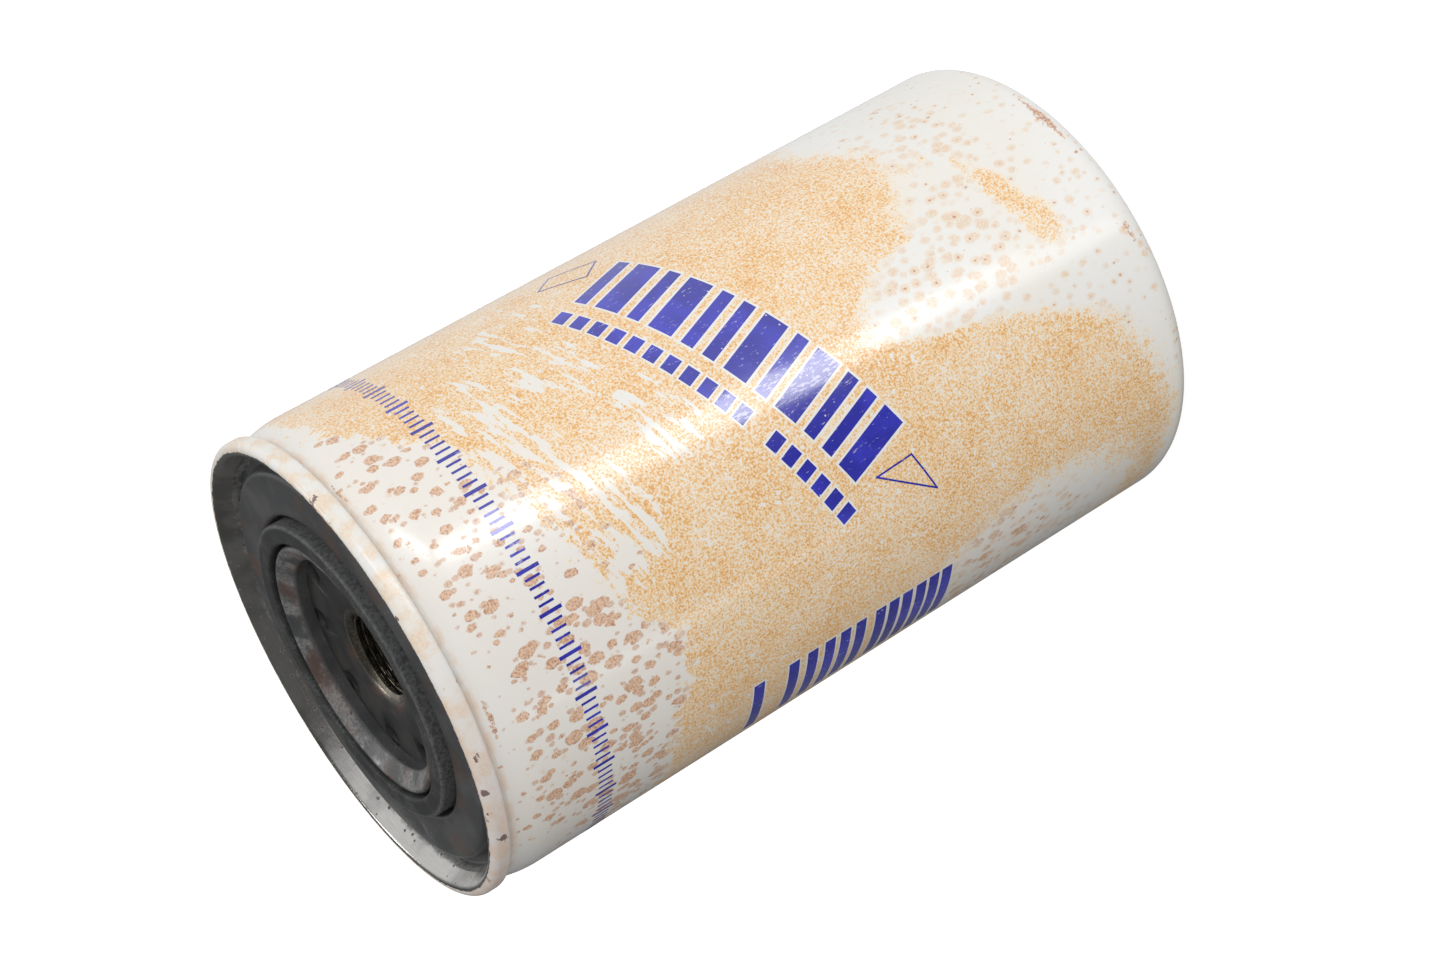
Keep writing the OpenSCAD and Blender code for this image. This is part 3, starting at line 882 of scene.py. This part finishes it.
def make_gasket(material):
    """The square-cut rubber ring in the lid's groove."""
    low, high = GASKET_LOW.z, GASKET_HIGH.z
    inner, outer = 30.3, GASKET_OUT
    outline = rounded([(inner, low, 0.3), (outer, low, 0.3), (outer, high, 0.65), (inner, high, 0.65)])

    def shape(r, z, angle):
        """A faint mould line round the outside."""
        if r > outer - 0.01 and abs(z - (low + high) / 2) < 0.15:
            r -= 0.05
        return r, z

    bm = revolved(densified(outline, 0.25), shape=shape)
    ring = finish_mesh("gasket_ring", bm, material)
    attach(ring, "casing")
    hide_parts("gasket")


# ---- print ----

INK_PROUD = 0.035               # top of the ink above the can's wall
MARGIN_PROUD = 0.018
PRINT_T = 0.012                 # thickness of a print patch
PRINT_STEP = 1.2                # widest strip of a print patch, round the can
ROW_ANGLE, ROW_Z = 19.5, 96     # middle of the camera side's slanted row
ROW_TURN = 21                   # the row's climb, in degrees
BLOCK_H = 16.6                  # the slanted row's heavy blocks
BLOCK_W = (5.6, 2.9, 2.9, 5.6, 2.9, 5.6, 2.9, 2.9, 5.6, 2.9, 5.6, 2.9)
BLOCK_GAP = 2.3
SMALL_RISE = 14.2               # from the heavy blocks' middle to the small blocks'
SMALL_STEP = 4.45
SMALL_BLOCKS = 18
WORD_GAP = 6                    # left out, as between two words
SIDE_ANGLE = -67                # middle of the side bars
SIDE_BARS = (123, 113.7, 108.7, 104, 99.8, 95.6, 90.2, 86.5, 82.8, 79, 75.4, 71.8)  # heights
TICKS = 180
TICKS_Z = 162.6
LINE_W = 0.42                   # strokes of the outlined shapes
HEAVY_MARGIN, FINE_MARGIN, NO_MARGIN = 0.55, 0.42, 0.0


def bar(width, height):
    """Corner points of an upright bar about its centre."""
    w, h = width / 2, height / 2
    return [(-w, -h), (w, -h), (w, h), (-w, h)]


def placed(points, angle, height, s=0, t=0, turn=0):
    """Points moved by (s, t), turned, and put on the can at (angle, height), as (arc, height)."""
    c, n = cos(radians(turn)), sin(radians(turn))
    at = radians(angle) * CAN_R
    return [(at + (x + s) * c - (y + t) * n, height + (x + s) * n + (y + t) * c) for x, y in points]


def grown(points, margin, rng):
    """A convex counter-clockwise shape moved outwards by margin, with a slightly ragged edge."""
    loop = [Vector(p) for p in points]
    corners = []
    for i, p in enumerate(loop):
        before, after = (p - loop[i - 1]).normalized(), (loop[(i + 1) % len(loop)] - p).normalized()
        n0, n1 = Vector((before.y, -before.x)), Vector((after.y, -after.x))
        mitre = (n0 + n1).normalized()
        corners.append(p + mitre * margin / max(0.4, mitre.dot(n0)))
    ragged = []
    for p in densified(corners, 0.9):
        x = p.x + rng.uniform(-1, 1) * margin * 0.16
        y = p.y + rng.uniform(-1, 1) * margin * 0.16
        ragged.append((x, y))
    return ragged


def add_patch(bm, points, proud):
    """Adds a thin closed patch that follows the can under the (arc, height) outline."""
    flat = bmesh.new()
    flat.faces.new([flat.verts.new((x, y, 0)) for x, y in points])
    low, high = min(p[0] for p in points), max(p[0] for p in points)
    cut = low + PRINT_STEP
    while cut < high - 0.05:
        bmesh.ops.bisect_plane(flat, geom=flat.verts[:] + flat.edges[:] + flat.faces[:],
                               plane_co=(cut, 0, 0), plane_no=(1, 0, 0))
        cut += PRINT_STEP
    bmesh.ops.triangulate(flat, faces=flat.faces[:])
    raised = bmesh.ops.extrude_face_region(flat, geom=flat.faces[:], use_keep_orig=True)
    for v in raised["geom"]:
        if isinstance(v, bmesh.types.BMVert):
            v.co.z = PRINT_T
    for v in flat.verts:
        r = WALL_R + proud - PRINT_T + v.co.z
        a = v.co.x / CAN_R
        v.co = Vector((r * sin(a), -r * cos(a), v.co.y)) * MM
    bmesh.ops.recalc_face_normals(flat, faces=flat.faces)
    mesh = bpy.data.meshes.new("patch")
    flat.to_mesh(mesh)
    flat.free()
    bm.from_mesh(mesh)
    bpy.data.meshes.remove(mesh)


def stripe_row(angle):
    """A heavy slanted row of blue blocks with a row of small blocks over it."""
    shapes = []
    s = -(sum(BLOCK_W) + BLOCK_GAP * (len(BLOCK_W) - 1)) / 2
    for w in BLOCK_W:
        block = placed(bar(w, BLOCK_H), angle, ROW_Z, s + w / 2, 0, ROW_TURN)
        shapes.append((block, HEAVY_MARGIN))
        s += w + BLOCK_GAP
    for i in range(SMALL_BLOCKS):
        if i != WORD_GAP:
            s = (i - (SMALL_BLOCKS - 1) / 2) * SMALL_STEP - 2
            small = placed(bar(2.9, 4.0), angle, ROW_Z, s, SMALL_RISE, ROW_TURN)
            shapes.append((small, FINE_MARGIN))
    return shapes


def print_shapes():
    """Every printed shape: its (arc, height) outline and the width of its white margin."""
    shapes = stripe_row(ROW_ANGLE) + stripe_row(ROW_ANGLE - 180)
    # side block: heavy bars stacked along the can
    for height in SIDE_BARS:
        for centre in (SIDE_ANGLE, SIDE_ANGLE + 180):
            shapes.append((placed(bar(20, 2.8), centre, height), FINE_MARGIN))
    # graduated band round the open end, with every fifth tick heavier
    for i in range(TICKS):
        tick = bar(0.55, 3.5) if i % 5 else bar(0.8, 5.2)
        shapes.append((placed(tick, -180 + 360 / TICKS * i, TICKS_Z), NO_MARGIN))
    # outlined lozenge and triangle at the ends of the slanted row
    for centre in (0, 180):
        shapes += line_shapes([(-5.2, -2), (0, 7.5), (5.2, 2), (0, -7.5)], 66 + centre, 111)
        shapes += line_shapes([(-5, -7), (4.5, 6), (5, -3.5)], -26.5 + centre, 79.5)
    return shapes


def line_shapes(points, angle, height):
    """A closed line drawn as thin bars between its corners."""
    shapes = []
    for (x0, y0), (x1, y1) in zip(points, points[1:] + points[:1]):
        length, turn = math.hypot(x1 - x0, y1 - y0), math.degrees(math.atan2(y1 - y0, x1 - x0))
        stroke = placed(bar(length + LINE_W, LINE_W), 0, 0, turn=turn)
        moved = [(x + (x0 + x1) / 2, y + (y0 + y1) / 2) for x, y in stroke]
        shapes.append((placed(moved, angle, height), NO_MARGIN))
    return shapes


def make_print(ink_material, margin_material):
    """The blue print and its clean margins, as thin raised patches on the can."""
    rng = random.Random(4)
    ink, margin = bmesh.new(), bmesh.new()
    for points, border in print_shapes():
        add_patch(ink, points, INK_PROUD)
        if border:
            add_patch(margin, grown(points, border, rng), MARGIN_PROUD)
    layers = (("blue_print", ink, ink_material), ("print_margin", margin, margin_material))
    for name, bm, material in layers:
        piece = finish_mesh(name, bm, material)
        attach(piece, "casing")


# ---- inside ----

WIRE_SIDES = 14
STEPS_PER_TURN = 48


def coil_rise(t, turns, closed, span):
    """Rise of the wire after t turns; the end turns rise by closed only."""
    if t < 1:
        return closed * t
    if t > turns - 1:
        return span - closed * (turns - t)
    return closed + (span - 2 * closed) / (turns - 2) * (t - 1)


def make_spring(name, node, material, body, wire, mean_r, turns):
    """A round-wire spring with closed ends, which fills the height of its node's box."""
    z0, z1 = (corner.z for corner in box_mm(node))
    closed = wire + 0.12        # rise of the turn at each end
    span = z1 - z0 - wire
    bm = bmesh.new()
    rings = []
    steps = round(STEPS_PER_TURN * turns)
    for i in range(steps + 1):
        t = turns * i / steps
        rise = coil_rise(t, turns, closed, span)
        ring = []
        around = 2 * pi * t
        for j in range(WIRE_SIDES):
            side = 2 * pi * j / WIRE_SIDES
            r = mean_r + wire / 2 * cos(side)
            z = z0 + wire / 2 + rise + wire / 2 * sin(side)
            ring.append(bm.verts.new((r * cos(around) * MM, r * sin(around) * MM, z * MM)))
        rings.append(ring)
    for a, b in zip(rings, rings[1:]):
        for j in range(WIRE_SIDES):
            k = (j + 1) % WIRE_SIDES
            bm.faces.new((a[j], a[k], b[k], b[j]))
    bm.faces.new(rings[0])
    bm.faces.new(rings[-1][::-1])
    coil = finish_mesh(name, bm, material)
    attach(coil, body)
    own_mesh(coil)
    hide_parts(node)


def finish_inside():
    """Materials of the pieces that the can hides."""
    plated = sheet_metal("plated_sheet", (0.62, 0.62, 0.60), (0.42, 0.42, 0.41))
    spring = sheet_metal("spring_wire", (0.35, 0.36, 0.38), (0.20, 0.20, 0.21), rough=0.26)
    black = rubber("valve_rubber", (0.018, 0.018, 0.018), (0.06, 0.06, 0.06), 0.4)
    glue = moulded("glue_bead", (0.72, 0.66, 0.50), (0.62, 0.54, 0.38), 0.35)
    potting = moulded("potting", (0.30, 0.09, 0.075), (0.22, 0.06, 0.05), 0.45)
    nylon = moulded("poppet_nylon", (0.76, 0.74, 0.66), (0.70, 0.67, 0.58), 0.40)
    compound = moulded("seam_compound", (0.42, 0.38, 0.28), (0.33, 0.29, 0.21), 0.55)
    finishes = {
        plated: ["top_end_cap", "bottom_end_cap", "centre_tube", "pleat_clip", "bypass_seat",
                 "bypass_cage", "spring_seat"],
        black: ["drain_back_hub", "drain_back_flap", "poppet_seal"],
        glue: ["media_wrap"],
        potting: ["top_potting", "bottom_potting"],
        nylon: ["bypass_poppet"],
        compound: ["seam_compound"],
        paper(): ["pleated_media"],
    }
    for material, nodes in finishes.items():
        for node in nodes:
            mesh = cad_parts[node].data
            mesh.materials.clear()
            mesh.materials.append(material)
    make_spring("support_coil", "support_spring", spring, "casing",
                wire=2.8, mean_r=22.5, turns=4.5)
    make_spring("bypass_coil", "bypass_spring", spring, "element",
                wire=1.2, mean_r=6.4, turns=6)


# ---- stage, light and camera ----

def make_floor():
    """A plain pale floor, which leaves the light on the object as it is."""
    reach_m = 4.0
    bm = bmesh.new()
    bmesh.ops.create_grid(bm, x_segments=1, y_segments=1, size=reach_m)
    pale = Shader("pale_floor").done(
        Base_Color=(0.50, 0.50, 0.50), Roughness=0.9, Specular_IOR_Level=0.0,
        Emission_Color=(1.0, 1.0, 1.0), Emission_Strength=0.74)
    floor = finish_mesh("floor", bm, pale)
    floor.visible_glossy = False
    floor.visible_diffuse = False
    floor.visible_shadow = False


def make_world():
    """A white surround for the camera, and softer light for the object, weaker towards -X."""
    world = bpy.data.worlds.new("studio")
    bpy.context.scene.world = world
    world.use_nodes = True
    n = Nodes(world.node_tree)

    def background(strength):
        return n.node("Background", (1, 1, 1), strength).outputs[0]

    def towards(direction):
        return n.vector("DOT_PRODUCT", coords.outputs["Generated"], direction)

    def mixed(share, a, b):
        return n.node("MixShader", share, a, b).outputs[0]

    coords = n.node("TexCoord")
    soft = n.math("MAXIMUM", n.plus(towards((0.28, -0.375, 0.29)), 0.635), 0.02)
    glints = n.step(towards((0.93, 0.0, -0.37)), -0.10, 0.55, 0.10, 0.80)
    path = n.node("LightPath")
    lighting = mixed(path.outputs["Is Glossy Ray"], background(soft), background(glints))
    n.node("OutputWorld", mixed(path.outputs["Is Camera Ray"], lighting, background(1.05)))


def softbox(name, place, target, width, length, along, watts):
    """A white area light at place, facing target, its long side running along a direction."""
    light = bpy.data.lights.new(name, "AREA")
    light.shape, light.size, light.size_y = "RECTANGLE", width * MM, length * MM
    light.energy = watts
    obj = in_scene(name, light)
    back = (Vector(place) - Vector(target)).normalized()
    side = Vector(along).cross(back).normalized()
    turned = Matrix((side, back.cross(side), back)).transposed().to_4x4()
    obj.matrix_world = Matrix.Translation(Vector(place) * MM) @ turned
    obj.visible_camera = False
    return obj


def make_lights():
    """Strip lights with highlights down the can and along its neck, and softer helpers."""
    softbox("long_strip", (246, -768, -193), (5, -50, 85), 130, 400, (-290, 33, -266), 1.05)
    softbox("strip_tail", (40, -719, -365), (5, -50, 85), 90, 160, (-290, 33, -266), 0.13)
    neck = softbox("neck_strip", (517, -768, 155), (30, -50, 180), 110, 343, (286, 0, 190), 1.0)
    neck.visible_diffuse = False
    softbox("top_glint", (340, 380, 830), (0, 0, 180), 220, 220, (1, 0, 0), 0.6)
    softbox("side_strip", (-660, -460, -100), (-30, -40, 150), 70, 300, (-60, 20, -200), 0.10)
    softbox("rear_strip", (120, 880, -290), (0, 0, 95), 90, 420, (0, 0, 1), 1.0)
    fill = softbox("rear_fill", (-350, 800, -230), (0, 0, 100), 420, 420, (1, 0, 0), 2.2)
    fill.visible_glossy = False


def make_camera():
    """The photograph's view: the can's closed end points up to the right, rolled well over."""
    place_m = Vector((0, -0.5924, 0.3483))
    pitch, yaw, roll = radians(-23.19), radians(-0.49), radians(-120.42)
    forward = Vector((sin(yaw) * cos(pitch), cos(yaw) * cos(pitch), sin(pitch)))
    level = forward.cross(Vector((0, 0, 1))).normalized()
    upright = level.cross(forward)
    right = level * cos(roll) + upright * sin(roll)
    up = upright * cos(roll) - level * sin(roll)
    data = bpy.data.cameras.new("camera")
    data.sensor_width = 36
    data.lens = 72.66
    data.clip_start = 0.01
    camera = in_scene("camera", data)
    turned = Matrix((right, up, -forward)).transposed().to_4x4()
    camera.matrix_world = Matrix.Translation(place_m) @ turned
    bpy.context.scene.camera = camera


make_camera()
make_world()
make_lights()
make_floor()
bpy.context.scene.view_settings.view_transform = "Standard"

make_can(enamel_can(), sheet_metal("bare_inside", (0.50, 0.49, 0.46), (0.34, 0.33, 0.30)))
make_lid(lid_finish())
make_base_plate(plate_finish())
make_gasket(rubber("gasket_rubber", (0.032, 0.033, 0.034), (0.135, 0.137, 0.138), 0.55,
                   rubbed_from=GASKET_OUT - 1.2))
make_print(blue_ink(), enamel_margin())
finish_inside()
